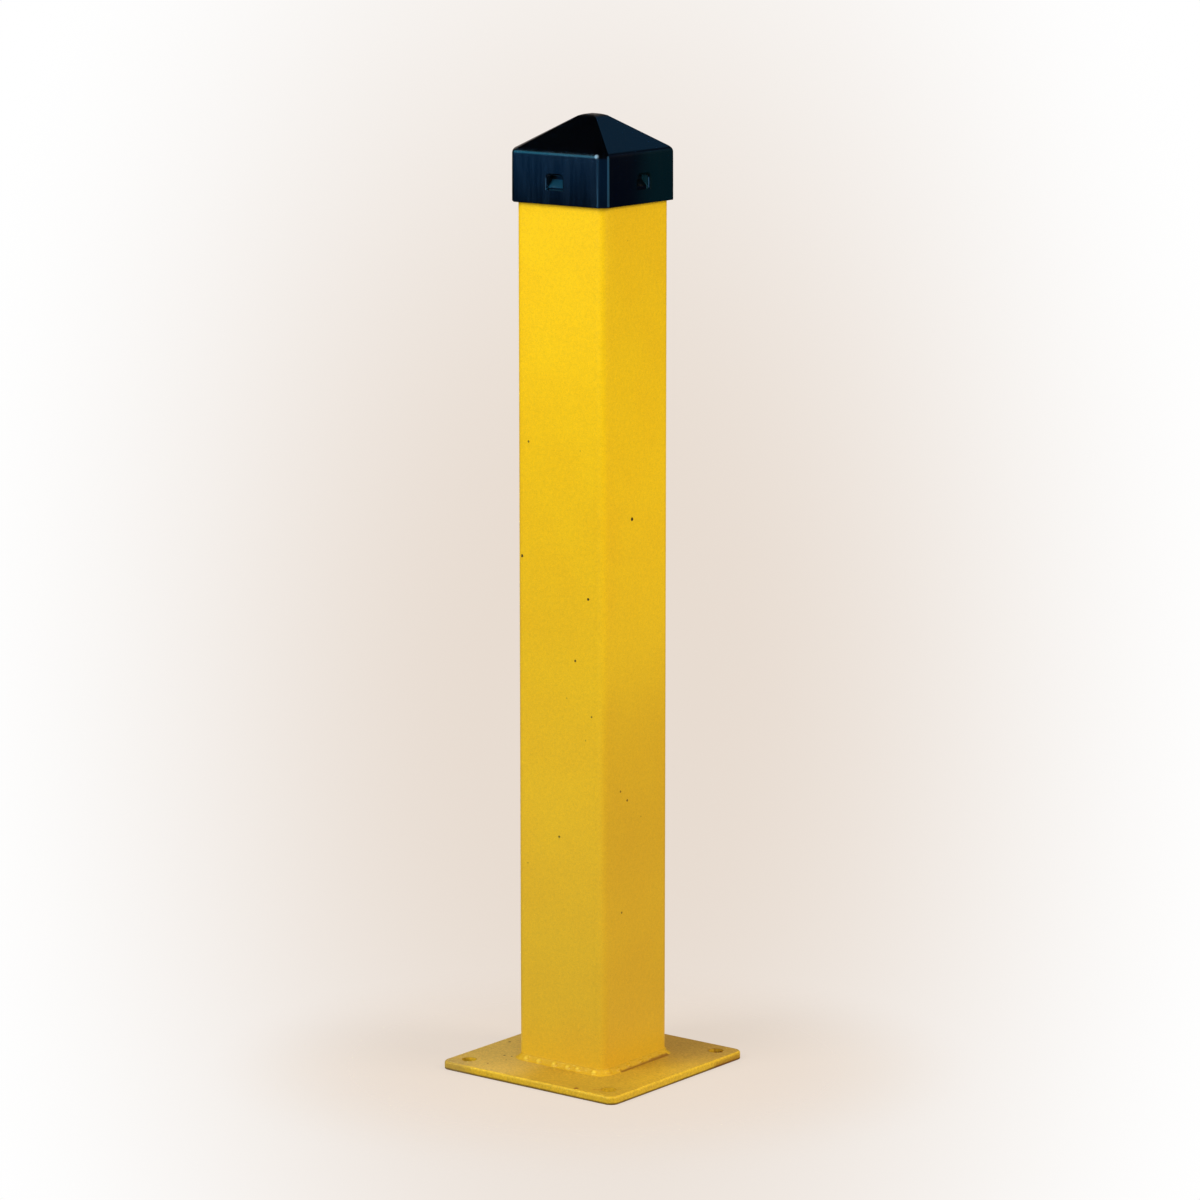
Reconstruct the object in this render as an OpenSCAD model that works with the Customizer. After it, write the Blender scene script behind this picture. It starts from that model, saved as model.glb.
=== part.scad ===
// Square bollard: a square steel tube welded all round to a square base plate,
// closed by a moulded pyramid cap that snaps into four windows near the tube's top.
// Millimetres, +Z up. The origin is the middle of the plate's underside.

/* [Post tube] */
// Width across the flats of the square tube
tube_w = 101.6; // [80:0.1:130]
// Wall thickness of the tube
tube_wall = 4.76; // [3:0.01:6.5]
// Outside radius of the tube's rolled corners
tube_corner_r = 9.5; // [7:0.1:12]
// Cut length of the tube
tube_length = 847; // [300:1:1200]

/* [Base plate] */
// Width of the square base plate
plate_w = 203.2; // [180:0.1:260]
// Thickness of the base plate
plate_t = 8; // [5:0.1:16]
// Radius of the plate's four corners, seen from above
plate_corner_r = 9; // [4:0.5:14]
// Rounding of the plate's upper edge
plate_edge_r = 2.6; // [0.5:0.1:3]
// Rounding of the plate's lower edge
plate_foot_r = 1; // [0.3:0.1:1.5]
// Distance between the centres of neighbouring anchor holes
anchor_pitch = 165.1; // [150:0.1:170]
// Diameter of the anchor holes
anchor_d = 14.3; // [10:0.1:18]

/* [Weld bead] */
// Leg of the fillet weld, along the plate and up the tube
weld_leg = 5.2; // [4:0.1:8]
// How far the weld's face bulges past a flat fillet
weld_bulge = 0.9; // [0.4:0.1:1.6]
// Spacing of the ripples along each side
ripple_pitch = 13.6; // [9:0.1:24]
// Radius of one ripple
ripple_r = 4; // [3.6:0.1:5.2]
// Distance of a ripple's centre from the tube and from the plate
ripple_seat = 1.5; // [1:0.1:2.2]

/* [Cap] */
// Clearance between the tube and the cap's skirt, on each side
cap_fit = 1; // [0.5:0.05:1.3]
// Wall thickness of the moulded cap
cap_wall = 3.8; // [3:0.1:4.6]
// How far the skirt reaches down over the tube
skirt_h = 42; // [38:0.1:70]
// How far each side of the skirt leans in over its height
skirt_draft = 0.3; // [0:0.1:0.8]
// Height of the eave above the tube's top
eave_rise = 5.4; // [4:0.1:12]
// Slope of the four roof faces, in degrees
roof_pitch = 33.5; // [20:0.5:40]
// Rounding between the skirt and the roof
eave_r = 6; // [3:0.5:9]
// Rounding of the peak
peak_r = 24; // [12:1:28]
// Width cut off each upright corner of the cap
corner_cut = 7.5; // [5:0.5:8]
// Rounding of the two edges of that cut
corner_soft_r = 3; // [2:0.5:8]
// Rounding over the top of that cut, where it turns into the roof
corner_eave_r = 6; // [4:0.5:12]
// Rounding of the skirt's lower edge
hem_r = 0.9; // [0.3:0.1:1.2]
// Width of the ledge that sits on the tube's end
ledge_w = 4.6; // [3.5:0.1:5.5]

/* [Cap catches] */
// Width of a catch's hollow
catch_w = 17; // [12:0.5:24]
// Height of a catch's hollow
catch_h = 13.2; // [11:0.1:15]
// Depth of a catch's hollow from the skirt's outer face
catch_depth = 8.4; // [7:0.1:10]
// Height of the hollow's lower edge above the skirt's lower edge
catch_rise = 13; // [10:0.5:16]
// Height of the upright part of the hollow's back
catch_back = 4.6; // [2:0.1:6]
// Radius of the hollow's two upper corners
catch_corner_r = 3; // [1.5:0.5:5]
// Rounding of the rim of the hollow
catch_rim_r = 2.8; // [1:0.1:3]
// Wall thickness of a catch
catch_wall = 1.8; // [1.2:0.1:2.4]
// Clearance of a catch in its window in the tube
catch_fit = 0.5; // [0.3:0.1:1]
// Place of the catches along X on the front and back faces
catch_x = -1; // [-8:0.5:8]
// Place of the catches along Y on the left and right faces
catch_y = 4; // [-8:0.5:8]

/* [Hidden] */
$fn = 96;
// Overrun of a cutting shape past the face that it cuts
past = 1;

paint_yellow = "#f2c21c";
cap_black = "#10161c";

tube_half = tube_w / 2;
tube_bore = tube_w - 2 * tube_wall;
tube_bore_r = tube_corner_r - tube_wall;
tube_foot_z = plate_t;
tube_top_z = plate_t + tube_length;

skirt_half = tube_half + cap_fit + cap_wall;
eave_half = skirt_half - skirt_draft;
skirt_foot_z = tube_top_z - skirt_h;
eave_z = tube_top_z + eave_rise;
peak_z = eave_z + eave_half * tan(roof_pitch);
// Distance of a cut corner from the middle, along the diagonal
corner_reach = (2 * skirt_half - corner_cut) / sqrt(2);

catch_z = skirt_foot_z + catch_rise;
catch_top_z = catch_z + catch_h;
// Distance of the skirt's outer face from the middle, at the foot of the catches
catch_face = skirt_half - skirt_draft * catch_rise / (eave_z - skirt_foot_z);
// Slope of a catch's ramp, and how far its wall lies below the ramp
ramp_slope = (catch_h - catch_back) / catch_depth;
ramp_wall = catch_wall * sqrt(1 + ramp_slope * ramp_slope);

// Each face of the post: its turn about Z, and the catch's place along it
faces = [[0, catch_x], [90, catch_y], [180, -catch_x], [270, -catch_y]];

function unit(v) = v / norm(v);

// Where an arc of radius r meets the two sides of a corner, and its centre
function corner_to(p, corner) = unit(p - corner);
function half_angle(a, corner, b) =
    acos(corner_to(a, corner) * corner_to(b, corner)) / 2;
function arc_start(a, corner, b, r) =
    corner + corner_to(a, corner) * r / tan(half_angle(a, corner, b));
function arc_centre(a, corner, b, r) =
    corner + unit(corner_to(a, corner) + corner_to(b, corner))
        * r / sin(half_angle(a, corner, b));

// A convex outline whose corners are true arcs, each with its own radius
module soft_outline(points, radii) {
    n = len(points);
    polygon([
        for (i = [0 : n - 1], side = radii[i] > 0 ? [-1, 1] : [1])
            arc_start(points[(i + side + n) % n], points[i], points[(i - side + n) % n], radii[i])
    ]);
    for (i = [0 : n - 1]) if (radii[i] > 0)
        translate(arc_centre(points[(i + n - 1) % n], points[i], points[(i + 1) % n], radii[i]))
            circle(r = radii[i]);
}

module soft_square(w, r) {
    h = w / 2;
    soft_outline([[-h, -h], [h, -h], [h, h], [-h, h]], [r, r, r, r]);
}

// An upright outline in X and Z, drawn through the part along Y
module along_y(length) {
    rotate([90, 0, 0]) linear_extrude(height = length, center = true) children();
}

// The same outline carried both ways and kept where the two agree
module both_ways(length) {
    intersection() {
        along_y(length) children();
        rotate([0, 0, 90]) along_y(length) children();
    }
}

// Half of the plate's section: its rounded edge, and flat for a length behind it
module plate_edge(length) {
    soft_outline(
        [[0, 0], [length, 0], [length, plate_t], [0, plate_t]],
        [0, plate_foot_r, plate_edge_r, 0]
    );
}

module plate_blank() {
    straight = plate_w / 2 - plate_corner_r;
    for (turn = [0 : 90 : 270]) rotate([0, 0, turn]) {
        along_y(2 * straight) plate_edge(plate_w / 2);
        translate([straight, straight, 0]) rotate_extrude(angle = 90) plate_edge(plate_corner_r);
    }
}

module base_plate() {
    color(paint_yellow) difference() {
        plate_blank();
        for (x = [-1, 1], y = [-1, 1])
            translate([x * anchor_pitch / 2, y * anchor_pitch / 2, -past])
                cylinder(d = anchor_d, h = plate_t + 2 * past);
    }
}

// Moves a catch's own shapes onto each face: X runs along the face, Y goes in
module on_each_face() {
    for (face = faces)
        rotate([0, 0, face[0]]) translate([face[1], -catch_face, 0]) children();
}

// An outline of depth and height, drawn along the face
module along_face(length) {
    rotate([90, 0, 90]) linear_extrude(height = length, center = true) children();
}

// Height of the underside of a catch's ramp at a depth
function ramp_foot(depth) = catch_z - ramp_wall + ramp_slope * depth;

// The catch's outer wall, from inside the skirt's own wall to its tip
module catch_shell() {
    root = cap_wall / 2;
    tip = catch_depth + catch_wall;
    top = catch_top_z + catch_wall;
    along_face(catch_w + 2 * catch_wall)
        polygon([[root, ramp_foot(root)], [tip, ramp_foot(tip)], [tip, top], [root, top]]);
}

// The hollow of a catch, open at the skirt's outer face
module catch_hollow() {
    w = catch_w / 2;
    intersection() {
        along_face(catch_w)
            polygon([
                [-past, catch_z], [0, catch_z], [catch_depth, catch_top_z - catch_back],
                [catch_depth, catch_top_z], [-past, catch_top_z]
            ]);
        translate([0, -past, 0]) rotate([-90, 0, 0]) linear_extrude(height = catch_depth + 2 * past)
            mirror([0, 1]) soft_outline(
                [[-w, catch_z - past], [w, catch_z - past], [w, catch_top_z], [-w, catch_top_z]],
                [0, 0, catch_corner_r, catch_corner_r]
            );
    }
}

// What the rounded rim takes away beside an edge, as an outline of distance and depth
module rim_outline(reach) {
    difference() {
        translate([0, -past]) square([reach + catch_rim_r, past + catch_rim_r]);
        translate([reach + catch_rim_r, catch_rim_r]) circle(r = catch_rim_r);
    }
}

// The rounding of the hollow's rim, up both sides and over the top
module catch_rim() {
    w = catch_w / 2;
    corner_x = w - catch_corner_r;
    corner_z = catch_top_z - catch_corner_r;
    for (side = [0, 1]) mirror([side, 0, 0]) {
        translate([0, 0, catch_z]) linear_extrude(height = corner_z - catch_z) rim_outline(w);
        translate([corner_x, 0, corner_z]) rotate([-90, 0, 0]) rotate_extrude()
            rim_outline(catch_corner_r);
    }
    translate([-corner_x, 0, corner_z]) rotate([90, 0, 90]) linear_extrude(height = 2 * corner_x)
        mirror([1, -1]) rim_outline(catch_corner_r);
}

// The window in the tube that a catch snaps into
module catch_window() {
    side = catch_w / 2 + catch_wall + catch_fit;
    tube_face = catch_face - tube_half;
    foot = ramp_foot(tube_face) - catch_fit;
    top = catch_top_z + catch_wall + catch_fit;
    translate([-side, tube_face - past, foot])
        cube([2 * side, tube_wall + 2 * past, top - foot]);
}

module post_tube() {
    color(paint_yellow) difference() {
        translate([0, 0, tube_foot_z]) linear_extrude(height = tube_length) difference() {
            soft_square(tube_w, tube_corner_r);
            soft_square(tube_bore, tube_bore_r);
        }
        on_each_face() catch_window();
    }
}

// Cross-section of the bead: out along the plate and up the tube, with a bulged face
module bead_section() {
    // The face is an arc through both toes, at the asked height above their chord
    chord = weld_leg / sqrt(2);
    face_r = (chord * chord + weld_bulge * weld_bulge) / (2 * weld_bulge);
    centre = (weld_leg - (face_r - weld_bulge) * sqrt(2)) / 2;
    intersection() {
        square(weld_leg);
        translate([centre, centre]) circle(r = face_r);
    }
}

module bead_run() {
    straight = tube_w - 2 * tube_corner_r;
    translate([0, -tube_half, 0]) rotate([90, 0, 90]) linear_extrude(height = straight, center = true)
        mirror([1, 0]) bead_section();
}

module bead_corner() {
    c = tube_half - tube_corner_r;
    translate([c, -c, 0]) rotate([0, 0, -90]) rotate_extrude(angle = 90)
        translate([tube_corner_r, 0]) bead_section();
}

// Ripples along one side, at an even pitch from its middle, and one on the corner
module ripples() {
    reach = tube_half + ripple_seat;
    count = floor((tube_half - tube_corner_r) / ripple_pitch);
    for (i = [-count : count])
        translate([i * ripple_pitch, -reach, ripple_seat]) sphere(r = ripple_r);
    corner = reach - tube_corner_r * (1 - 1 / sqrt(2));
    translate([corner, -corner, ripple_seat]) sphere(r = ripple_r);
}

module weld_bead() {
    color(paint_yellow) translate([0, 0, tube_foot_z]) {
        difference() {
            union() for (face = faces) rotate([0, 0, face[0]]) {
                bead_run();
                bead_corner();
                ripples();
            }
            translate([0, 0, -ripple_r]) linear_extrude(height = 3 * ripple_r)
                soft_square(tube_w, tube_corner_r);
            translate([0, 0, -ripple_r]) linear_extrude(height = ripple_r)
                square(tube_w + 4 * ripple_r, center = true);
        }
    }
}

module cap_section() {
    soft_outline(
        [
            [-skirt_half, skirt_foot_z], [skirt_half, skirt_foot_z],
            [eave_half, eave_z], [0, peak_z], [-eave_half, eave_z]
        ],
        [hem_r, hem_r, eave_r, peak_r, eave_r]
    );
}

// The same along a diagonal: the cut corner, and the narrow facet from it to the peak
module corner_section() {
    top = corner_reach - skirt_draft;
    soft_outline(
        [
            [-corner_reach, skirt_foot_z], [corner_reach, skirt_foot_z],
            [top, eave_z], [0, peak_z], [-top, eave_z]
        ],
        [hem_r, hem_r, corner_eave_r, peak_r, corner_eave_r]
    );
}

// The hollow under the roof, above the ledge that sits on the tube's end
module roof_hollow() {
    half = tube_half + cap_fit - ledge_w;
    top = peak_z - cap_wall / cos(roof_pitch);
    foot = tube_top_z - past;
    intersection() {
        both_ways(tube_w) soft_outline(
            [[-half, foot], [half, foot], [half, top - half * tan(roof_pitch)],
             [0, top], [-half, top - half * tan(roof_pitch)]],
            [0, 0, 0, peak_r - cap_wall, 0]
        );
        translate([0, 0, foot]) linear_extrude(height = top - foot)
            soft_square(2 * half, tube_corner_r + cap_fit - ledge_w);
    }
}

module cap_plan() {
    h = skirt_half;
    c = skirt_half - corner_cut;
    soft_outline(
        [[-c, -h], [c, -h], [h, -c], [h, c], [c, h], [-c, h], [-h, c], [-h, -c]],
        [for (i = [0 : 7]) corner_soft_r]
    );
}

module post_cap() {
    color(cap_black) difference() {
        union() {
            difference() {
                intersection() {
                    both_ways(2 * skirt_half + 2 * past) cap_section();
                    rotate([0, 0, 45]) both_ways(2 * corner_reach + 2 * past) corner_section();
                    translate([0, 0, skirt_foot_z]) linear_extrude(height = peak_z - skirt_foot_z)
                        cap_plan();
                }
                translate([0, 0, skirt_foot_z - past])
                    linear_extrude(height = skirt_h + past)
                        soft_square(tube_w + 2 * cap_fit, tube_corner_r + cap_fit);
                roof_hollow();
            }
            on_each_face() catch_shell();
        }
        on_each_face() {
            catch_hollow();
            catch_rim();
        }
    }
}

base_plate();
post_tube();
weld_bead();
post_cap();
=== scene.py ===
import math
import random

import bpy
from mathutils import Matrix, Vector


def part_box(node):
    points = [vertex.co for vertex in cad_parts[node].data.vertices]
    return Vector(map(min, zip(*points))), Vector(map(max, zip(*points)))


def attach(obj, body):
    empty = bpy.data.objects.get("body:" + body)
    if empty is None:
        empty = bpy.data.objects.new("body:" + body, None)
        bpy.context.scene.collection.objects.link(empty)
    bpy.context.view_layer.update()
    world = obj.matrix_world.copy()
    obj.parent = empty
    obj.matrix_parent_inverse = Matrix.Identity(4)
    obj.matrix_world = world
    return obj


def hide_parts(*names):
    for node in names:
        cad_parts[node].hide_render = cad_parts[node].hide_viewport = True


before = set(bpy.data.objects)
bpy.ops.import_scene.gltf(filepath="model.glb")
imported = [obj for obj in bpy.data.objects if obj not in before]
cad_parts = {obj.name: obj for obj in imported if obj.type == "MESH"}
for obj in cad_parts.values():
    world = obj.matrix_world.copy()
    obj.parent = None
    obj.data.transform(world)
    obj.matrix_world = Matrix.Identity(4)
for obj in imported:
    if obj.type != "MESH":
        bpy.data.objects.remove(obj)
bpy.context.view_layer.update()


# The base plate: sheared steel plate with rounded edges and four anchor holes. It is powder
# coated yellow together with the post. Dust has settled on its top, with a painted sheen and
# a painted shadow of the post in it. Grime and a painted contact shadow lie along its lower
# edge, and a brown stain and a painted shadow lie in the crease by the weld. Rust has started
# in the holes and at the right corner.

MM = 0.001
PLATE_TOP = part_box("base_plate")[1].z
PLATE_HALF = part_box("base_plate")[1].x
TUBE_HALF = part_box("post_tube")[1].x
HOLE_OFFSET = 82.55 * MM
HOLE_RADIUS = 7.15 * MM


def picked(red, green, blue):
    """A colour given 0 to 255, as the light values that a shader works in."""
    def light(value):
        part = value / 255
        return part / 12.92 if part < 0.04045 else ((part + 0.055) / 1.055) ** 2.4
    return (light(red), light(green), light(blue), 1.0)


class Wire:
    """One value in a node tree. Arithmetic on it adds the Math nodes that work it out."""

    def __init__(self, graph, socket):
        self.graph = graph
        self.socket = socket

    def math(self, operation, *values):
        return self.graph.make("ShaderNodeMath", {"operation": operation}, dict(enumerate(values)))

    def __add__(self, other):
        return self.math("ADD", self, other)

    def __sub__(self, other):
        return self.math("SUBTRACT", self, other)

    def __rsub__(self, other):
        return self.math("SUBTRACT", other, self)

    def __mul__(self, other):
        return self.math("MULTIPLY", self, other)

    def __truediv__(self, other):
        return self.math("DIVIDE", self, other)

    def __rtruediv__(self, other):
        return self.math("DIVIDE", other, self)

    def __pow__(self, other):
        return self.math("POWER", self, other)

    __radd__ = __add__
    __rmul__ = __mul__

    def __neg__(self):
        return self.math("SUBTRACT", 0.0, self)

    def __abs__(self):
        return self.math("ABSOLUTE", self)

    def at_most(self, other):
        return self.math("MINIMUM", self, other)

    def at_least(self, other):
        return self.math("MAXIMUM", self, other)

    def below(self, other):
        return self.math("LESS_THAN", self, other)

    def sine(self):
        return self.math("SINE", self)

    def cosine(self):
        return self.math("COSINE", self)

    def ramp(self, low, high):
        """0 at low and 1 at high, with a soft step between. low may be the larger."""
        return self.graph.make(
            "ShaderNodeMapRange",
            {"interpolation_type": "SMOOTHSTEP"},
            {"Value": self, "From Min": low, "From Max": high},
        )


class Graph:
    """A node tree being wired. Every node in it comes from make()."""

    def __init__(self, tree):
        self.tree = tree

    def make(self, kind, settings=None, sockets=None, output=0):
        node = self.tree.nodes.new(kind)
        for name, value in (settings or {}).items():
            setattr(node, name, value)
        for name, value in (sockets or {}).items():
            self.feed(node.inputs[name], value)
        return Wire(self, node.outputs[output])

    def feed(self, socket, value):
        if isinstance(value, Wire):
            self.tree.links.new(value.socket, socket)
        else:
            socket.default_value = value

    def vector(self, operation, *values):
        return self.make(
            "ShaderNodeVectorMath", {"operation": operation}, dict(enumerate(values))
        )

    def measure(self, operation, *vectors):
        """Vector maths whose result is one number, such as a length."""
        return self.make(
            "ShaderNodeVectorMath", {"operation": operation}, dict(enumerate(vectors)), "Value"
        )

    def scale(self, vector, amount):
        """A vector or a colour times a number, so that 1 leaves it alone."""
        return self.make(
            "ShaderNodeVectorMath", {"operation": "SCALE"}, {0: vector, "Scale": amount}
        )

    def blend(self, amount, under, over):
        """Lays the colour over on the colour under, as far as amount says."""
        factor, first, second, result = 0, 6, 7, 2
        return self.make(
            "ShaderNodeMix",
            {"data_type": "RGBA", "clamp_factor": True},
            {factor: amount, first: under, second: over},
            result,
        )

    def part(self, vector, axis):
        return self.make("ShaderNodeSeparateXYZ", None, {"Vector": vector}, axis)

    def noise(self, place, per_metre, detail=2.0, roughness=0.5):
        return self.make(
            "ShaderNodeTexNoise",
            None,
            {"Vector": place, "Scale": per_metre, "Detail": detail, "Roughness": roughness},
        )


class Finish(Graph):
    """A material, with the place on the piece to build its pattern from."""

    def __init__(self, name):
        self.material = bpy.data.materials.new(name)
        self.material.use_nodes = True
        super().__init__(self.material.node_tree)
        self.shader = self.tree.nodes["Principled BSDF"]
        self.place = self.make("ShaderNodeTexCoord", output="Object")
        self.x = self.part(self.place, "X")
        self.y = self.part(self.place, "Y")
        self.z = self.part(self.place, "Z")

    def surface(self, **sockets):
        """Sets or links the shader's own sockets: Base_Color is the socket Base Color."""
        for name, value in sockets.items():
            self.feed(self.shader.inputs[name.replace("_", " ")], value)
        return self.material

    def grain(self, per_metre, detail=2.0, roughness=0.5):
        return self.noise(self.place, per_metre, detail, roughness)

    def distance(self, point):
        return self.measure("DISTANCE", self.place, point)

    def plan_distance(self, x, y):
        """Distance from an upright axis."""
        return ((self.x - x) ** 2 + (self.y - y) ** 2) ** 0.5

    def line_distance(self, start, end):
        """Distance from a straight line between two points."""
        run = Vector(end) - Vector(start)
        offset = self.vector("SUBTRACT", self.place, start)
        along = self.measure("DOT_PRODUCT", offset, run) / run.length_squared
        nearest = self.scale(tuple(run), along.at_least(0.0).at_most(1.0))
        return self.measure("DISTANCE", offset, nearest)

    def ragged(self, distance, radius, raggedness=0.35):
        """1 within a radius and 0 outside it, with a ragged edge."""
        wobble = (self.grain(0.8 / radius) - 0.5) * (2.4 * raggedness * radius)
        return (distance + wobble).ramp(1.15 * radius, 0.8 * radius)

    def bump(self, height, depth, strength=1.0, under=None):
        """Relief that is only shaded, laid over the relief under it if there is one."""
        sockets = {"Height": height, "Distance": depth, "Strength": strength}
        if under is not None:
            sockets["Normal"] = under
        return self.make("ShaderNodeBump", None, sockets)


YELLOW = picked(243, 200, 4)
AMBER = picked(236, 186, 4)
CHIP = picked(46, 34, 12)
RUST = picked(124, 58, 22)
OLIVE = picked(132, 104, 34)
PALE = picked(255, 226, 96)
DUST = picked(166, 134, 98)
GRIME_AND_SHADE = picked(92, 66, 26)


class PowderCoat(Finish):
    """Baked powder coat: orange peel, a fine grain, slow changes of tone, dust and marks."""

    def __init__(self, name):
        super().__init__(name)
        tone = self.grain(11.0, 3.0).ramp(0.3, 0.75)
        speck = self.grain(1000.0, 2.0, 0.7) * 0.5 + self.grain(330.0, 2.0, 0.6) * 0.22
        self.colour = self.blend(tone * 0.5, YELLOW, AMBER)
        self.colour = self.scale(self.colour, 0.64 + speck)
        fleck = self.grain(900.0, 1.0).ramp(0.5, 0.75)
        self.colour = self.blend(fleck * 0.07, self.colour, PALE)
        toward_foot = self.z.ramp(0.65, 0.05)
        self.colour = self.blend(toward_foot * 0.2, self.colour, DUST)
        self.rough = 0.34 + self.grain(260.0) * 0.14
        self.peel = self.grain(420.0, 1.5) + self.grain(1500.0, 1.0) * 0.3
        self.loss = 0.0

    def wander(self):
        """A slow noise round zero, to lead the edge of a stain astray."""
        return self.grain(28.0, 4.0, 0.65) - 0.5

    def mark(self, mask, colour, rough=0.75):
        """Colours a mark in the coat, and dulls it."""
        self.colour = self.blend(mask, self.colour, colour)
        self.rough = self.rough + mask * (rough - self.rough)

    def chip(self, point, radius, colour=CHIP, strength=1.0):
        """A flake of the coat gone, down to the dark steel."""
        mask = self.ragged(self.distance(point), radius) * strength
        self.mark(mask, colour)
        self.loss = mask + self.loss

    def finish(self):
        """The finished material: orange peel over the whole coat, and a pit at each chip."""
        skin = self.bump(self.peel, 0.1 * MM, 0.5)
        pitted = self.bump(1.0 - self.loss, 0.15 * MM, 0.8, skin)
        return self.surface(
            Base_Color=self.colour,
            Roughness=self.rough,
            Normal=pitted,
            Specular_IOR_Level=0.22,
        )


plate_coat = PowderCoat("plate powder coat")

# The flat top is dulled by dust: trodden yellow in front, olive to the left with a painted
# sheen, and browner behind on the right with a painted shadow of the post, with fine dark
# specks all over
TRODDEN = picked(188, 148, 42)
DUST_AND_SHEEN = picked(212, 178, 88)
BROWN_DUST_AND_SHADOW = picked(180, 143, 62)
SPECK = picked(112, 84, 30)
on_top = plate_coat.z.ramp(PLATE_TOP - 0.5 * MM, PLATE_TOP - 0.1 * MM)
wander = plate_coat.wander()
kept_clean = (plate_coat.x + wander * (40 * MM)).ramp(70 * MM, 95 * MM) * 0.35
kept_clean = kept_clean * plate_coat.y.ramp(-80 * MM, -40 * MM)
plate_coat.mark(on_top * (0.85 + wander * 0.3 - kept_clean), TRODDEN, 0.6)
# Paler and greyer to the left: dust with a painted sheen
to_left = (plate_coat.x + wander * (50 * MM)).ramp(8 * MM, -48 * MM)
plate_coat.mark(on_top * to_left * 0.8, DUST_AND_SHEEN, 0.6)
# Browner behind on the right: dust with a painted shadow of the post
to_back = (plate_coat.y + wander * (50 * MM)).ramp(-5 * MM, 80 * MM)
plate_coat.mark(on_top * to_back * (1.0 - to_left) * 0.8, BROWN_DUST_AND_SHADOW, 0.6)
specks = plate_coat.grain(800.0, 2.0, 0.6).ramp(0.6, 0.72)
plate_coat.mark(on_top * specks * 0.4, SPECK)
grit = plate_coat.grain(450.0, 2.0, 0.6)
plate_coat.colour = plate_coat.scale(plate_coat.colour, 0.62 + grit * 0.76)

# The upright edge on the right is a shade lighter
right_edge = plate_coat.x.ramp(PLATE_HALF - 2 * MM, PLATE_HALF - 0.3 * MM)
plate_coat.colour = plate_coat.scale(plate_coat.colour, 1.0 + right_edge * 0.09)

# Grime along the lower edge, and a painted contact shadow with it
low_edge = (plate_coat.z + wander * 1.6 * MM).ramp(2.8 * MM, 1.2 * MM)
plate_coat.mark(low_edge * 0.85, GRIME_AND_SHADE)

# The front edge is dusty toward the left corner
LEFT_EDGE = ((-PLATE_HALF, -PLATE_HALF, 3 * MM), (-84 * MM, -PLATE_HALF, 3 * MM))
EDGE_DUST = picked(140, 118, 82)
dusty_edge = plate_coat.line_distance(*LEFT_EDGE).ramp(25 * MM, 2 * MM)
plate_coat.mark(dusty_edge * 0.42, EDGE_DUST)

# The anchor holes: side along X and along Y, colour of the stain in them, how strong
HOLES = ((-1, -1, OLIVE, 0.3), (1, -1, RUST, 0.12), (1, 1, RUST, 0.75), (-1, 1, OLIVE, 0.4))
patch = plate_coat.grain(170.0, 3.0).ramp(0.46, 0.6)
for side_x, side_y, stain, strength in HOLES:
    from_axis = plate_coat.plan_distance(side_x * HOLE_OFFSET, side_y * HOLE_OFFSET)
    rim = plate_coat.ragged(from_axis, HOLE_RADIUS + 0.6 * MM, 0.16)
    plate_coat.mark(rim * strength * 0.4, stain)
    wall = from_axis.ramp(HOLE_RADIUS + 0.5 * MM, HOLE_RADIUS + 0.1 * MM)
    plate_coat.mark(wall * patch * strength, stain)

# Marks on the plate's top: place along X and along Y and radius in mm, and colour
PLATE_MARKS = (
    (-90, -13, 1.4, CHIP),
    (-65, -52, 1.3, CHIP),
    (-57, -51, 1.0, CHIP),
    (-54, -63, 0.9, CHIP),
    (-60, -83, 1.1, RUST),
    (56, -97, 2.2, RUST),
)
for x, y, radius, colour in PLATE_MARKS:
    plate_coat.chip((x * MM, y * MM, PLATE_TOP), radius * MM, colour, 0.85)

# A rubbed streak by the front hole, and rust along the right corner's edge
STREAK = ((71.5 * MM, -90 * MM, PLATE_TOP), (86.5 * MM, -82 * MM, PLATE_TOP))
RUBBED = picked(160, 84, 30)
RIGHT_EDGE = ((PLATE_HALF, 58 * MM, 1 * MM), (PLATE_HALF, 93 * MM, 3 * MM))
plate_coat.mark(plate_coat.ragged(plate_coat.line_distance(*STREAK), 1.6 * MM) * 0.4, RUBBED)
corner_rust = plate_coat.line_distance(*RIGHT_EDGE) + wander * 4 * MM
plate_coat.mark(corner_rust.ramp(5.5 * MM, 0.5 * MM) * 0.5, RUST)

# The dark crease where the weld meets the plate on the right: a brown stain with a painted shadow
WELD_LEG = 5.2 * MM
CREASE = (
    (TUBE_HALF + WELD_LEG, -28 * MM, PLATE_TOP),
    (TUBE_HALF + WELD_LEG - 1 * MM, 43 * MM, PLATE_TOP),
)
CREASE_STAIN_AND_SHADE = picked(122, 68, 24)


def paint_crease_stain_and_shade(coat, wander):
    """Paints the crease's brown stain and its shadow, in the plate's coat and in the weld's."""
    crease = coat.line_distance(*CREASE) + wander * 2.5 * MM
    coat.mark(crease.ramp(3.2 * MM, 0.4 * MM) * 0.75, CREASE_STAIN_AND_SHADE)


paint_crease_stain_and_shade(plate_coat, wander)

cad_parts["base_plate"].material_slots[0].material = plate_coat.finish()


# The post: a length of square steel tube with rolled corners, stood on the plate. It has the
# same yellow coat, with a few chips down to dark steel where it has been knocked.

tube_coat = PowderCoat("post powder coat")

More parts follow.
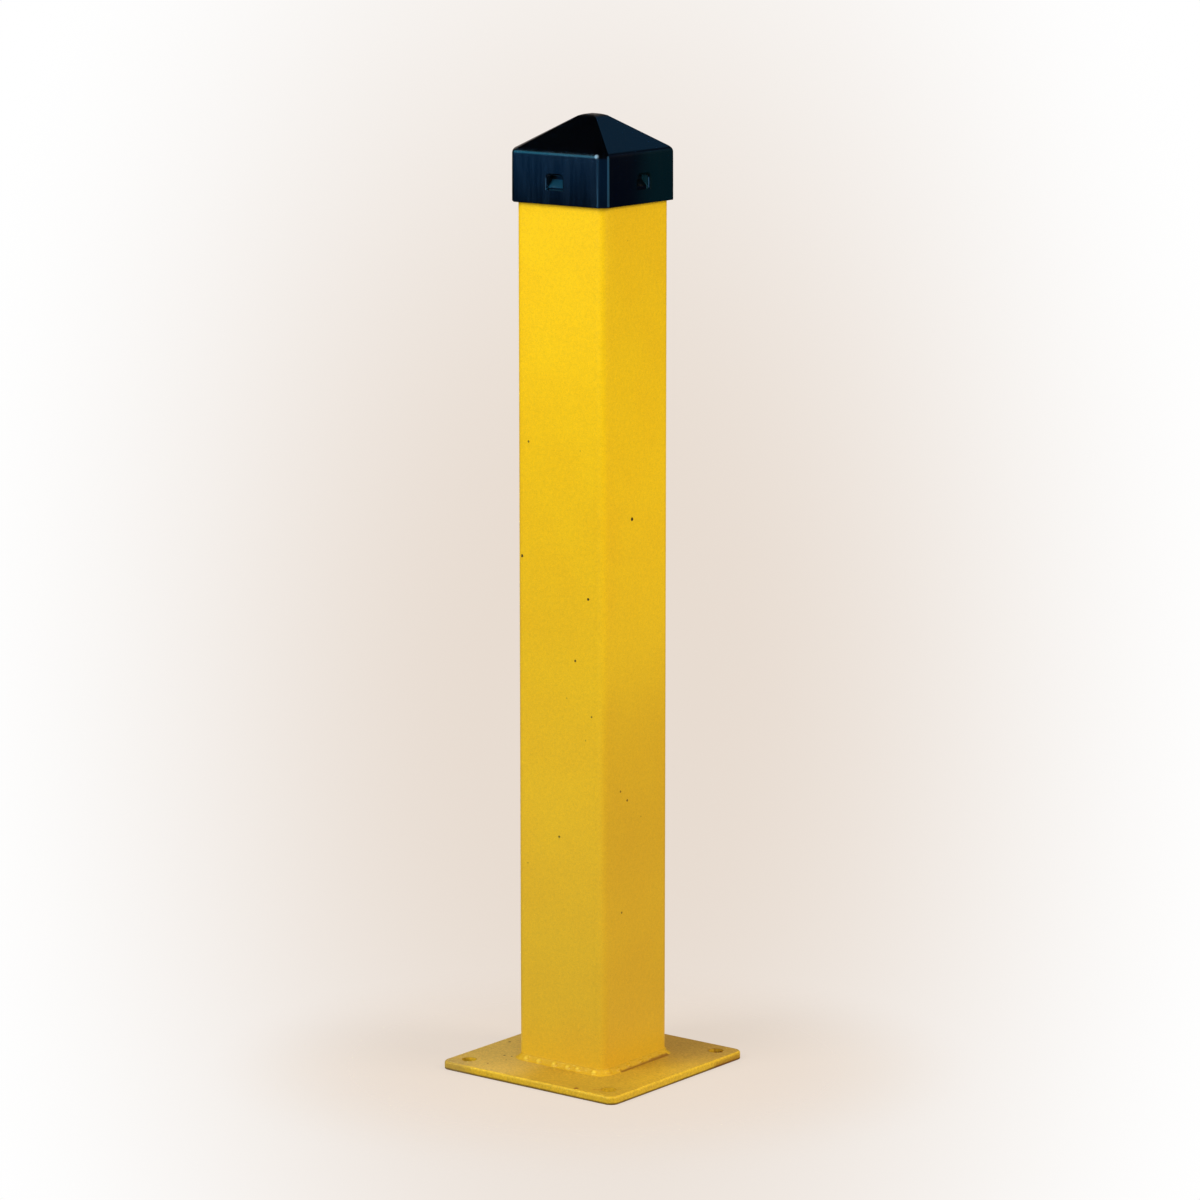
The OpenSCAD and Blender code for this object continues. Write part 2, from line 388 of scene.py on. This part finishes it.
# Chips: place across the face, height above the floor and radius in mm, and how dark
FRONT_CHIPS = (
    (-35, 594, 1.1, 0.8),
    (25, 591, 0.8, 0.4),
    (-43, 487, 1.4, 1.0),
    (34, 455, 1.3, 1.0),
    (19, 396, 1.2, 0.9),
    (9, 360, 0.8, 0.4),
    (38, 346, 1.0, 0.8),
    (31, 323, 0.8, 0.4),
    (0, 228, 1.2, 0.9),
    (-37, 198, 0.8, 0.4),
)
RIGHT_CHIPS = (
    (-7, 525, 1.7, 1.0),
    (-24, 273, 1.1, 0.8),
    (-14, 263, 1.2, 0.9),
    (7, 244, 0.8, 0.4),
    (-22, 158, 1.1, 0.8),
    (-14, 781, 0.8, 0.3),
)
for across, height, radius, strength in FRONT_CHIPS:
    tube_coat.chip((across * MM, -TUBE_HALF, height * MM), radius * MM, strength=strength)
for across, height, radius, strength in RIGHT_CHIPS:
    tube_coat.chip((TUBE_HALF, across * MM, height * MM), radius * MM, strength=strength)

# The right side is painted a shade darker near the top, and again low down, where it also
# gets a painted warm light. The other sides are painted a shade darker half way up.
ORANGE = picked(240, 160, 20)
right_side = tube_coat.x.ramp(TUBE_HALF - 6 * MM, TUBE_HALF - 0.5 * MM)
shade_top = tube_coat.z.ramp(0.5, 0.76) * 0.09
shade_foot = abs(tube_coat.z - 0.28).ramp(0.15, 0.03) * 0.07
tube_coat.colour = tube_coat.scale(tube_coat.colour, 1.0 - (shade_top + shade_foot) * right_side)
warm_light = tube_coat.z.ramp(0.42, 0.28) * right_side * 0.12
tube_coat.colour = tube_coat.blend(warm_light, tube_coat.colour, ORANGE)
shade_middle = abs(tube_coat.z - 0.48).ramp(0.25, 0.08) * (1.0 - right_side) * 0.05
tube_coat.colour = tube_coat.scale(tube_coat.colour, 1.0 - shade_middle)

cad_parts["post_tube"].material_slots[0].material = tube_coat.finish()


# The weld: one fillet run all round the tube's foot, with a lump at each pause of the hand
# and a scatter of fine spatter beside it, all under the coat, which softens every edge.

TUBE_CORNER = 9.5 * MM

# Lumps, in mm: their places along the front, and on the other sides how far out they reach
# from the middle and the least and the most between two of them
FRONT_LUMPS = (-38, -23, -5, 11, 23, 42)
LUMP_SPAN = 44.0
LUMP_GAPS = (11.0, 19.0)


class Former(Graph):
    """A Geometry Nodes tree with named sizes, run on a piece and turned into a plain mesh."""

    def __init__(self, name):
        super().__init__(bpy.data.node_groups.new(name, "GeometryNodeTree"))
        self.values = {}
        self.entry = self.tree.nodes.new("NodeGroupInput")
        self.tree.interface.new_socket(
            "Geometry", in_out="OUTPUT", socket_type="NodeSocketGeometry"
        )
        self.given = self.input("Geometry", "NodeSocketGeometry")

    def input(self, name, kind, value=None):
        socket = self.tree.interface.new_socket(name, in_out="INPUT", socket_type=kind)
        if value is not None:
            self.values[socket.identifier] = value
        return Wire(self, self.entry.outputs[name])

    def size(self, name, value):
        return self.input(name, "NodeSocketFloat", value)

    def form(self, name, points, geometry, material):
        """Runs the tree on an object that holds the points, and gives the mesh that it makes."""
        solid = self.make("GeometryNodeRealizeInstances", None, {"Geometry": geometry})
        smooth = self.make("GeometryNodeSetShadeSmooth", None, {"Geometry": solid})
        coat = self.input("Material", "NodeSocketMaterial", material)
        coated = self.make("GeometryNodeSetMaterial", None, {"Geometry": smooth, "Material": coat})
        self.feed(self.tree.nodes.new("NodeGroupOutput").inputs[0], coated)
        mesh = bpy.data.meshes.new(name)
        mesh.from_pydata(points, [], [])
        piece = bpy.data.objects.new(name, mesh)
        bpy.context.scene.collection.objects.link(piece)
        modifier = piece.modifiers.new(name, "NODES")
        modifier.node_group = self.tree
        for identifier, value in self.values.items():
            modifier[identifier] = value
        seen = piece.evaluated_get(bpy.context.evaluated_depsgraph_get())
        formed = bpy.data.meshes.new_from_object(seen)
        piece.modifiers.remove(modifier)
        piece.data = formed
        return piece


def lump_places():
    """Where the lumps sit on the bead's crest, all round the tube, the front ones first."""
    off_steel = 2.4 * MM
    crest = TUBE_HALF + off_steel
    height = PLATE_TOP + off_steel
    hand = random.Random(11)
    places = [(x * MM, -crest, height) for x in FRONT_LUMPS]
    for quarter_turns in (1, 2, 3):
        along = -LUMP_SPAN
        while along < LUMP_SPAN:
            x, y = along * MM, -crest
            for _ in range(quarter_turns):
                x, y = -y, x
            places.append((x, y, height))
            along += hand.uniform(*LUMP_GAPS)
    return places


bead = Former("weld bead")
half = bead.size("Tube half width", TUBE_HALF)
corner = bead.size("Tube corner radius", TUBE_CORNER)
leg = bead.size("Leg", WELD_LEG + 0.2 * MM)
bulge = bead.size("Bulge", 0.7 * MM)
lump_rise = bead.size("Lump height", 2.2 * MM)
lump_reach = bead.size("Lump radius", 4.4 * MM)
ripple_pitch = bead.size("Ripple pitch", 2.6 * MM)
ripple_rise = bead.size("Ripple height", 0.08 * MM)
sunk = bead.size("Depth sunk into the steel", 0.8 * MM)
run_step = bead.size("Step along the run", 0.55 * MM)
droplet_radius = bead.size("Droplet radius", 0.55 * MM)
droplet_reach = bead.size("Droplet reach", 16 * MM)

# The path: the outline of the tube, laid on the plate
path = bead.make(
    "GeometryNodeCurvePrimitiveQuadrilateral", None, {"Width": half * 2, "Height": half * 2}
)
path = bead.make(
    "GeometryNodeFilletCurve", {"mode": "POLY"}, {"Curve": path, "Count": 24, "Radius": corner}
)
path = bead.make(
    "GeometryNodeResampleCurve", {"mode": "LENGTH"}, {"Curve": path, "Length": run_step}
)
path = bead.make("GeometryNodeSetCurveNormal", {"mode": "Z_UP"}, {"Curve": path})
path = bead.make(
    "GeometryNodeTransform", None, {"Geometry": path, "Translation": (0.0, 0.0, PLATE_TOP)}
)

# The section: a hollow fillet that runs out flat on the tube and on the plate, closed behind
FACE_STEPS = 22
section = bead.make(
    "GeometryNodeCurvePrimitiveCircle", {"mode": "RADIUS"}, {"Resolution": FACE_STEPS + 4}
)
step = bead.make("GeometryNodeInputIndex")
across = (step / FACE_STEPS).at_most(1.0)
swing = across * (math.pi / 2)
behind = (FACE_STEPS + 1.5 - step).below(0.0)
under = (FACE_STEPS + 0.5 - step).below(0.0)
top_again = (FACE_STEPS + 2.5 - step).below(0.0)
out = leg * (1.0 - swing.cosine()) * (1.0 - behind) - sunk * behind
up = leg * (1.0 - swing.sine()) * (1.0 - under) - sunk * under + (leg + sunk) * top_again
outline = bead.make("ShaderNodeCombineXYZ", None, {"X": out, "Y": -up})
section = bead.make("GeometryNodeSetPosition", None, {"Geometry": section, "Position": outline})
crown = (across * math.pi).sine() ** 2


def keep(geometry, name, value):
    """Stores a value on the curve's points, so that the swept mesh carries it too."""
    return bead.make(
        "GeometryNodeStoreNamedAttribute",
        {"data_type": "FLOAT", "domain": "POINT"},
        {"Geometry": geometry, "Name": name, "Value": value},
    )


def kept(name):
    return bead.make("GeometryNodeInputNamedAttribute", {"data_type": "FLOAT"}, {"Name": name})


run = bead.make("GeometryNodeSplineParameter", output="Length")
path = keep(path, "run", run)
section = keep(section, "crown", crown)
section = keep(section, "across", across)
swept = bead.make("GeometryNodeCurveToMesh", None, {"Curve": path, "Profile Curve": section})

# How far the bead's face swells: its crown, the lumps, and a ripple for each dab of the rod
place = bead.make("GeometryNodeInputPosition")
nearest = bead.make(
    "GeometryNodeProximity",
    {"target_element": "POINTS"},
    {"Target": bead.given, "Source Position": place},
    "Distance",
)
lump = nearest.ramp(lump_reach, 0.0)
unsteady = bead.noise(place, 70.0, 2.0)
phase = kept("run") / ripple_pitch + (kept("across") - 0.5) ** 2 * 1.4 + unsteady * 0.9
ripple = (phase * (2 * math.pi)).sine() * ripple_rise
rise = kept("crown") * (bulge * (0.65 + unsteady * 0.7) + lump * lump_rise + ripple)

# Out along the plate and up the tube at once: the way the bead's face looks
level = bead.vector("MULTIPLY", place, (1.0, 1.0, 0.0))
core = half - corner
core_x = bead.part(level, "X").at_most(core).at_least(-core)
core_y = bead.part(level, "Y").at_most(core).at_least(-core)
centre = bead.make("ShaderNodeCombineXYZ", None, {"X": core_x, "Y": core_y})
from_core = bead.vector("SUBTRACT", level, centre)
away = bead.vector("NORMALIZE", from_core)
facing = bead.vector("NORMALIZE", bead.vector("ADD", away, (0.0, 0.0, 1.0)))
swollen = bead.make(
    "GeometryNodeSetPosition", None, {"Geometry": swept, "Offset": bead.scale(facing, rise)}
)


def drawn(low, high, seed):
    """A random number between two others, drawn for each point."""
    least, most, number = 2, 3, 1
    return bead.make(
        "FunctionNodeRandomValue", None, {least: low, most: high, "Seed": seed}, number
    )


# Spatter: droplets frozen on the plate close to the bead, fewer of them farther out
DROPLETS_PER_SQUARE_METRE = 5200.0
ground = bead.make(
    "GeometryNodeMeshGrid",
    None,
    {"Size X": half * 3, "Size Y": half * 3, "Vertices X": 2, "Vertices Y": 2},
)
ground = bead.make(
    "GeometryNodeTransform", None, {"Geometry": ground, "Translation": (0.0, 0.0, PLATE_TOP)}
)
spatter = bead.make(
    "GeometryNodeDistributePointsOnFaces",
    None,
    {"Mesh": ground, "Density": DROPLETS_PER_SQUARE_METRE, "Seed": 4},
)
from_bead = bead.measure("LENGTH", from_core) - corner - leg
near_enough = (from_bead / droplet_reach + drawn(0.0, 1.0, 9) * 1.2).ramp(1.0, 0.99)
stray = near_enough * (0.0 - from_bead).below(0.0)
spatter = bead.make(
    "GeometryNodeSeparateGeometry", {"domain": "POINT"}, {"Geometry": spatter, "Selection": stray}
)
drop = bead.make(
    "GeometryNodeMeshIcoSphere", None, {"Radius": droplet_radius, "Subdivisions": 2}
)
size = drawn(0.5, 1.3, 3)
flat = bead.make("ShaderNodeCombineXYZ", None, {"X": size, "Y": size, "Z": size * 0.7})
spatter = bead.make(
    "GeometryNodeInstanceOnPoints", None, {"Points": spatter, "Instance": drop, "Scale": flat}
)
joined = bead.tree.nodes.new("GeometryNodeJoinGeometry")
for shape in (spatter, swollen):
    bead.feed(joined.inputs[0], shape)

# The bead's coat is painted darker, a painted shade against the light its upturned face
# catches, and the lumps in front get a painted highlight
BEAD_SHADE = picked(214, 160, 4)
LUMP_HIGHLIGHT = picked(255, 226, 80)
weld_coat = PowderCoat("weld powder coat")
weld_coat.colour = weld_coat.blend(0.35, weld_coat.colour, BEAD_SHADE)
weld_coat.colour = weld_coat.scale(weld_coat.colour, 0.93)
for lump_place in lump_places()[: len(FRONT_LUMPS)]:
    lump_highlight = weld_coat.distance(lump_place).ramp(3.2 * MM, 1.0 * MM)
    weld_coat.mark(lump_highlight * 0.7, LUMP_HIGHLIGHT, 0.35)
paint_crease_stain_and_shade(weld_coat, weld_coat.wander())
weld = bead.form("weld", lump_places(), Wire(bead, joined.outputs[0]), weld_coat.finish())
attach(weld, "root")
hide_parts("weld_bead")


# The cap: moulded black plastic pushed over the tube's end, with four snap catches sunk in
# its skirt. A satin skin, with faint streaks where the plastic flowed up the mould.

cap_plastic = Finish("black moulded plastic")
upright = cap_plastic.vector("MULTIPLY", cap_plastic.place, (1.0, 1.0, 0.08))
flow = cap_plastic.noise(upright, 260.0, 3.0)
cloud = cap_plastic.grain(60.0, 3.0)
skin = cap_plastic.grain(1300.0, 2.0)

# The right side has a painted sheen that grows toward the back, and the front shows pale flow
# streaks
CAP_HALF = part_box("post_cap")[1].x
BLACK = picked(0, 0, 2)
CLOUDY_BLACK = picked(0, 2, 4)
SHEEN_BLACK = picked(0, 21, 25)
FLOW_STREAK = picked(8, 22, 34)
right_sheen = (cap_plastic.y + cloud * 8 * MM).ramp(-18 * MM, 28 * MM)
right_sheen = right_sheen * (CAP_HALF - 1 * MM - cap_plastic.x).below(0.0)
streaked = flow.ramp(0.42, 0.64) * cap_plastic.y.ramp(4 * MM - CAP_HALF, 1 * MM - CAP_HALF)
plastic = cap_plastic.blend(cloud, BLACK, CLOUDY_BLACK)
plastic = cap_plastic.blend(right_sheen, plastic, SHEEN_BLACK)
plastic = cap_plastic.blend(streaked * 0.6, plastic, FLOW_STREAK)

# The far wall of the right catch gets painted light from the left, and the front catch's
# ramp carries a painted highlight
CATCH_FOOT = 826 * MM
CATCH_TOP = CATCH_FOOT + 16 * MM
CATCH_INSIDE = CAP_HALF - 12 * MM
CATCH_WALL_Y = 12.5 * MM
RAMP_HIGHLIGHT_HALF = 14 * MM
RAMP_RISE = 8.6 / 8.4
WALL_LIGHT = picked(30, 74, 88)
RAMP_HIGHLIGHT = picked(14, 56, 76)
across_x, across_y = abs(cap_plastic.x), abs(cap_plastic.y)
depth = CAP_HALF - across_x.at_least(across_y)
in_right_catch = (CATCH_INSIDE - cap_plastic.x).below(0.0) * cap_plastic.z.below(CATCH_TOP)
lit_far_wall = abs(cap_plastic.y - CATCH_WALL_Y).ramp(1.2 * MM, 0.6 * MM)
lit_far_wall = lit_far_wall * depth.ramp(1.8 * MM, 3.0 * MM) * in_right_catch
plastic = cap_plastic.blend(lit_far_wall, plastic, WALL_LIGHT)
off_ramp = abs(cap_plastic.z - CATCH_FOOT - depth * RAMP_RISE)
ramp_highlight = off_ramp.ramp(0.9 * MM, 0.4 * MM) * depth.ramp(0.3 * MM, 1.2 * MM)
ramp_highlight = ramp_highlight * across_x.below(RAMP_HIGHLIGHT_HALF) * cap_plastic.y.below(0.0)
plastic = cap_plastic.blend(ramp_highlight, plastic, RAMP_HIGHLIGHT)

# The two upright edges of the cut corner carry painted highlights, and so does the tip above
# them: place along X and along Y, and how bright
CUT_EDGE = 48.2 * MM
HEM_Z = 815 * MM
EAVE_Z = 856 * MM
EDGES = (
    (CUT_EDGE, 0.4 * MM - CAP_HALF, 0.16),
    (CAP_HALF - 0.4 * MM, -CUT_EDGE, 0.55),
)
TIP = (46.5 * MM, 1.2 * MM - CAP_HALF, EAVE_Z + 3.2 * MM)
EDGE_HIGHLIGHT = picked(42, 84, 110)
TIP_HIGHLIGHT = picked(146, 178, 200)
for x, y, highlight_strength in EDGES:
    edge = cap_plastic.line_distance((x, y, HEM_Z), (x, y, EAVE_Z + 3 * MM))
    plastic = cap_plastic.blend(edge.ramp(1.5 * MM, 0.6 * MM) * highlight_strength, plastic, EDGE_HIGHLIGHT)
tip_highlight = cap_plastic.distance(TIP).ramp(2.6 * MM, 0.8 * MM)
plastic = cap_plastic.blend(tip_highlight * 0.75, plastic, TIP_HIGHLIGHT)

# The sides lean in by a few degrees toward the hem, which leaves the hem darker
LEAN = -1.3
hollow = (EAVE_Z - cap_plastic.z).at_least(0.0) ** 2 * LEAN
draft = cap_plastic.bump(hollow, 1.0)
cap_plastic.surface(
    Base_Color=plastic,
    Roughness=0.17 + flow * 0.08 + cloud * 0.05,
    Normal=cap_plastic.bump(cloud * 0.6 + flow * 0.25 + skin * 0.15, 0.1 * MM, 0.3, draft),
    Specular_IOR_Level=0.5,
)
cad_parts["post_cap"].material_slots[0].material = cap_plastic.material


# The studio: a pale floor that fades into a pale backdrop, two soft boxes with two fill
# lights, a dark screen that only gloss can see, and the camera where the picture was taken.

CREAM = picked(232, 220, 209)
WHITE = (1.0, 1.0, 1.0, 1.0)
CAMERA_TURN = math.radians(37.75)


def studio_piece(name, points, faces):
    """A piece of the studio, from its points and faces."""
    mesh = bpy.data.meshes.new(name)
    mesh.from_pydata(points, [], faces)
    piece = bpy.data.objects.new(name, mesh)
    bpy.context.scene.collection.objects.link(piece)
    return piece


def looked_at(graph):
    """1 where the surface is seen straight, in gloss or through glass, and 0 for its light."""
    ray = graph.tree.nodes.new("ShaderNodeLightPath")
    seen = Wire(graph, ray.outputs["Is Camera Ray"])
    for other in ("Is Glossy Ray", "Is Transmission Ray"):
        seen = seen.at_least(Wire(graph, ray.outputs[other]))
    return seen


# The floor gives most of its pale colour as its own light, and takes the post's shadow
FLOOR_HALF = 1.2
CORNERS = ((-1, -1), (1, -1), (1, 1), (-1, 1))
FADE_START, FADE_END = 0.13, 0.37
OWN_LIGHT = 0.72
floor = studio_piece(
    "floor",
    [(x * FLOOR_HALF, y * FLOOR_HALF, 0.0) for x, y in CORNERS],
    [(0, 1, 2, 3)],
)
paper = Finish("floor paper")
own_light = looked_at(paper) * OWN_LIGHT
lift = paper.make("ShaderNodeEmission", None, {"Color": CREAM, "Strength": own_light})
paper.surface(
    Base_Color=tuple(part * (1 - OWN_LIGHT) for part in CREAM[:3]) + (1.0,),
    Roughness=1.0,
    Specular_IOR_Level=0.0,
)
lit = paper.make(
    "ShaderNodeAddShader", None, {0: Wire(paper, paper.shader.outputs[0]), 1: lift}
)
clear = paper.make("ShaderNodeBsdfTransparent")
fade = paper.plan_distance(0.0, 0.0).ramp(FADE_START, FADE_END)
blended = paper.make("ShaderNodeMixShader", None, {0: fade, 1: lit, 2: clear})
paper.feed(paper.tree.nodes["Material Output"].inputs["Surface"], blended)
floor.data.materials.append(paper.material)

# The backdrop is warmest behind the post and pales to white all round. The warm patch's drop
# below level and its half sizes are parts of the distance to it, and it pales over the last
# pair of numbers, where 1 is the patch's edge
WARM_DROP, WARM_HALF_WIDTH, WARM_HALF_HEIGHT = 0.2065, 0.124, 0.218
PALE_START, PALE_END = 0.158, 1.138
AMBIENT = {"Color": (1.0, 0.95, 0.88, 1.0), "Strength": 0.42}
world = bpy.data.worlds.new("backdrop")
bpy.context.scene.world = world
world.use_nodes = True
sky = Graph(world.node_tree)
gaze = sky.make("ShaderNodeTexCoord", output="Generated")
gaze_x, gaze_y, gaze_z = (sky.part(gaze, axis) for axis in "XYZ")
across = gaze_x * math.cos(CAMERA_TURN) + gaze_y * math.sin(CAMERA_TURN)
onward = gaze_y * math.cos(CAMERA_TURN) - gaze_x * math.sin(CAMERA_TURN)
above = gaze_z + WARM_DROP
spread = ((across / WARM_HALF_WIDTH) ** 2 + (above / WARM_HALF_HEIGHT) ** 2) ** 0.5
paleness = spread.ramp(PALE_START, PALE_END).at_least(onward.below(0.5))
ambient = sky.make("ShaderNodeBackground", None, AMBIENT)
pale = sky.make("ShaderNodeBackground", None, {"Color": sky.blend(paleness, CREAM, WHITE)})
around = sky.make("ShaderNodeMixShader", None, {0: looked_at(sky), 1: ambient, 2: pale})
sky.feed(sky.tree.nodes["World Output"].inputs["Surface"], around)


def studio_place(turn, distance, height):
    """A place round the post: turn is its bearing, 0 in front and 90 on the right."""
    bearing = math.radians(turn)
    return Vector((distance * math.sin(bearing), -distance * math.cos(bearing), height))


def soft_box(name, turn, distance, height, size, power, aim, colour=(1.0, 1.0, 1.0)):
    """A soft box at a place round the post, turned to a height on the post's axis."""
    lamp = bpy.data.lights.new(name, "AREA")
    lamp.shape = "RECTANGLE"
    lamp.size, lamp.size_y = size
    lamp.energy = power
    lamp.color = colour
    box = bpy.data.objects.new(name, lamp)
    box.location = studio_place(turn, distance, height)
    facing = Vector((0.0, 0.0, aim)) - box.location
    box.rotation_mode = "QUATERNION"
    box.rotation_quaternion = facing.to_track_quat("-Z", "Y")
    bpy.context.scene.collection.objects.link(box)
    return box


def direction(turn, rise):
    """The way from the post to a bearing and a height in degrees."""
    level = studio_place(turn, math.cos(math.radians(rise)), 0.0)
    return Vector((level.x, level.y, math.sin(math.radians(rise))))


soft_box("key soft box", -14.0, 1.9, 1.75, (1.0, 1.5), 34.5, aim=0.8)
soft_box("side soft box", 105.0, 2.1, 1.6, (0.9, 1.1), 29.0, aim=0.5, colour=(1.0, 0.905, 0.79))
front = soft_box("front fill", 50.0, 2.2, 1.5, (0.8, 0.8), 9.0, aim=0.4, colour=(1.0, 0.95, 0.88))
back = soft_box("back fill", 217.0, 2.2, 0.5, (0.8, 0.8), 8.0, aim=0.45, colour=(1.0, 0.96, 0.9))
for fill in (front, back):
    fill.visible_glossy = False

# Gloss sees a dark room, painted on a screen round the post, with a few soft glows in it:
# bearing, height above level and reach in degrees, and light values in red, green and blue
GLOWS = (
    (-47, 2, 16, (0.0, 0.25, 0.80)),
    (-45, 19, 14, (0.0, 2.0, 3.2)),
    (20, -7, 13, (0.9, 2.7, 4.8)),
    (-14, 36, 10, (12.0, 20.0, 26.0)),
    (56, -6, 14, (0.01, 0.16, 0.50)),
    (143, -6, 18, (0.0, 0.015, 0.06)),
    (155, 20, 12, (0.01, 0.05, 0.16)),
    (-175, 36, 14, (0.03, 0.12, 0.25)),
    (-141, 15, 16, (0.35, 0.31, 0.28)),
)
SCREEN_RADIUS = 3.0
SCREEN_MIDDLE = Vector((0.0, 0.0, 0.85))
SCREEN_STEP = 15
AROUND = 360 // SCREEN_STEP
points = [
    SCREEN_MIDDLE + SCREEN_RADIUS * direction(turn, rise)
    for rise in range(-90, 91, SCREEN_STEP)
    for turn in range(0, 360, SCREEN_STEP)
]
faces = []
for start in range(0, len(points) - AROUND, AROUND):
    for here in range(AROUND):
        after = (here + 1) % AROUND
        lower = (start + here, start + after)
        upper = (start + AROUND + after, start + AROUND + here)
        faces.append(lower + upper)
screen = studio_piece("gloss screen", points, faces)
for rays in ("camera", "diffuse", "shadow", "transmission"):
    setattr(screen, "visible_" + rays, False)
paint = Finish("gloss screen paint")
outward = paint.vector("NORMALIZE", paint.vector("SUBTRACT", paint.place, SCREEN_MIDDLE))
glow = paint.vector("MULTIPLY", outward, (0.0, 0.0, 0.0))
for turn, rise, reach, colour in GLOWS:
    near = paint.measure("DOT_PRODUCT", outward, direction(turn, rise))
    soft = near.ramp(math.cos(math.radians(reach * 1.3)), math.cos(math.radians(reach * 0.6)))
    glow = paint.vector("ADD", glow, paint.scale(colour, soft))
shine = paint.make("ShaderNodeEmission", None, {"Color": glow, "Strength": 1.0})
paint.feed(paint.tree.nodes["Material Output"].inputs["Surface"], shine)
paint.material.cycles.emission_sampling = "NONE"
screen.data.materials.append(paint.material)

# The camera stands off the front right corner, a little above the post. Its focal length is
# given in picture points, for a frame as wide as the photograph's
CAMERA_DISTANCE = 4.400
CAMERA_HEIGHT = 1.2657
CAMERA_ASIDE = 0.0066
CAMERA_PITCH = math.radians(10.59)
FRAME_PIXELS = 1200
FOCAL_PIXELS = 4846.0
camera_data = bpy.data.cameras.new("camera")
camera_data.sensor_width = 36.0
camera_data.lens = FOCAL_PIXELS / FRAME_PIXELS * camera_data.sensor_width
camera = bpy.data.objects.new("camera", camera_data)
camera.location = (
    CAMERA_DISTANCE * math.sin(CAMERA_TURN) + CAMERA_ASIDE * math.cos(CAMERA_TURN),
    -CAMERA_DISTANCE * math.cos(CAMERA_TURN) + CAMERA_ASIDE * math.sin(CAMERA_TURN),
    CAMERA_HEIGHT,
)
camera.rotation_euler = (math.pi / 2 - CAMERA_PITCH, 0.0, CAMERA_TURN)
bpy.context.scene.collection.objects.link(camera)
bpy.context.scene.camera = camera
bpy.context.scene.view_settings.view_transform = "Standard"
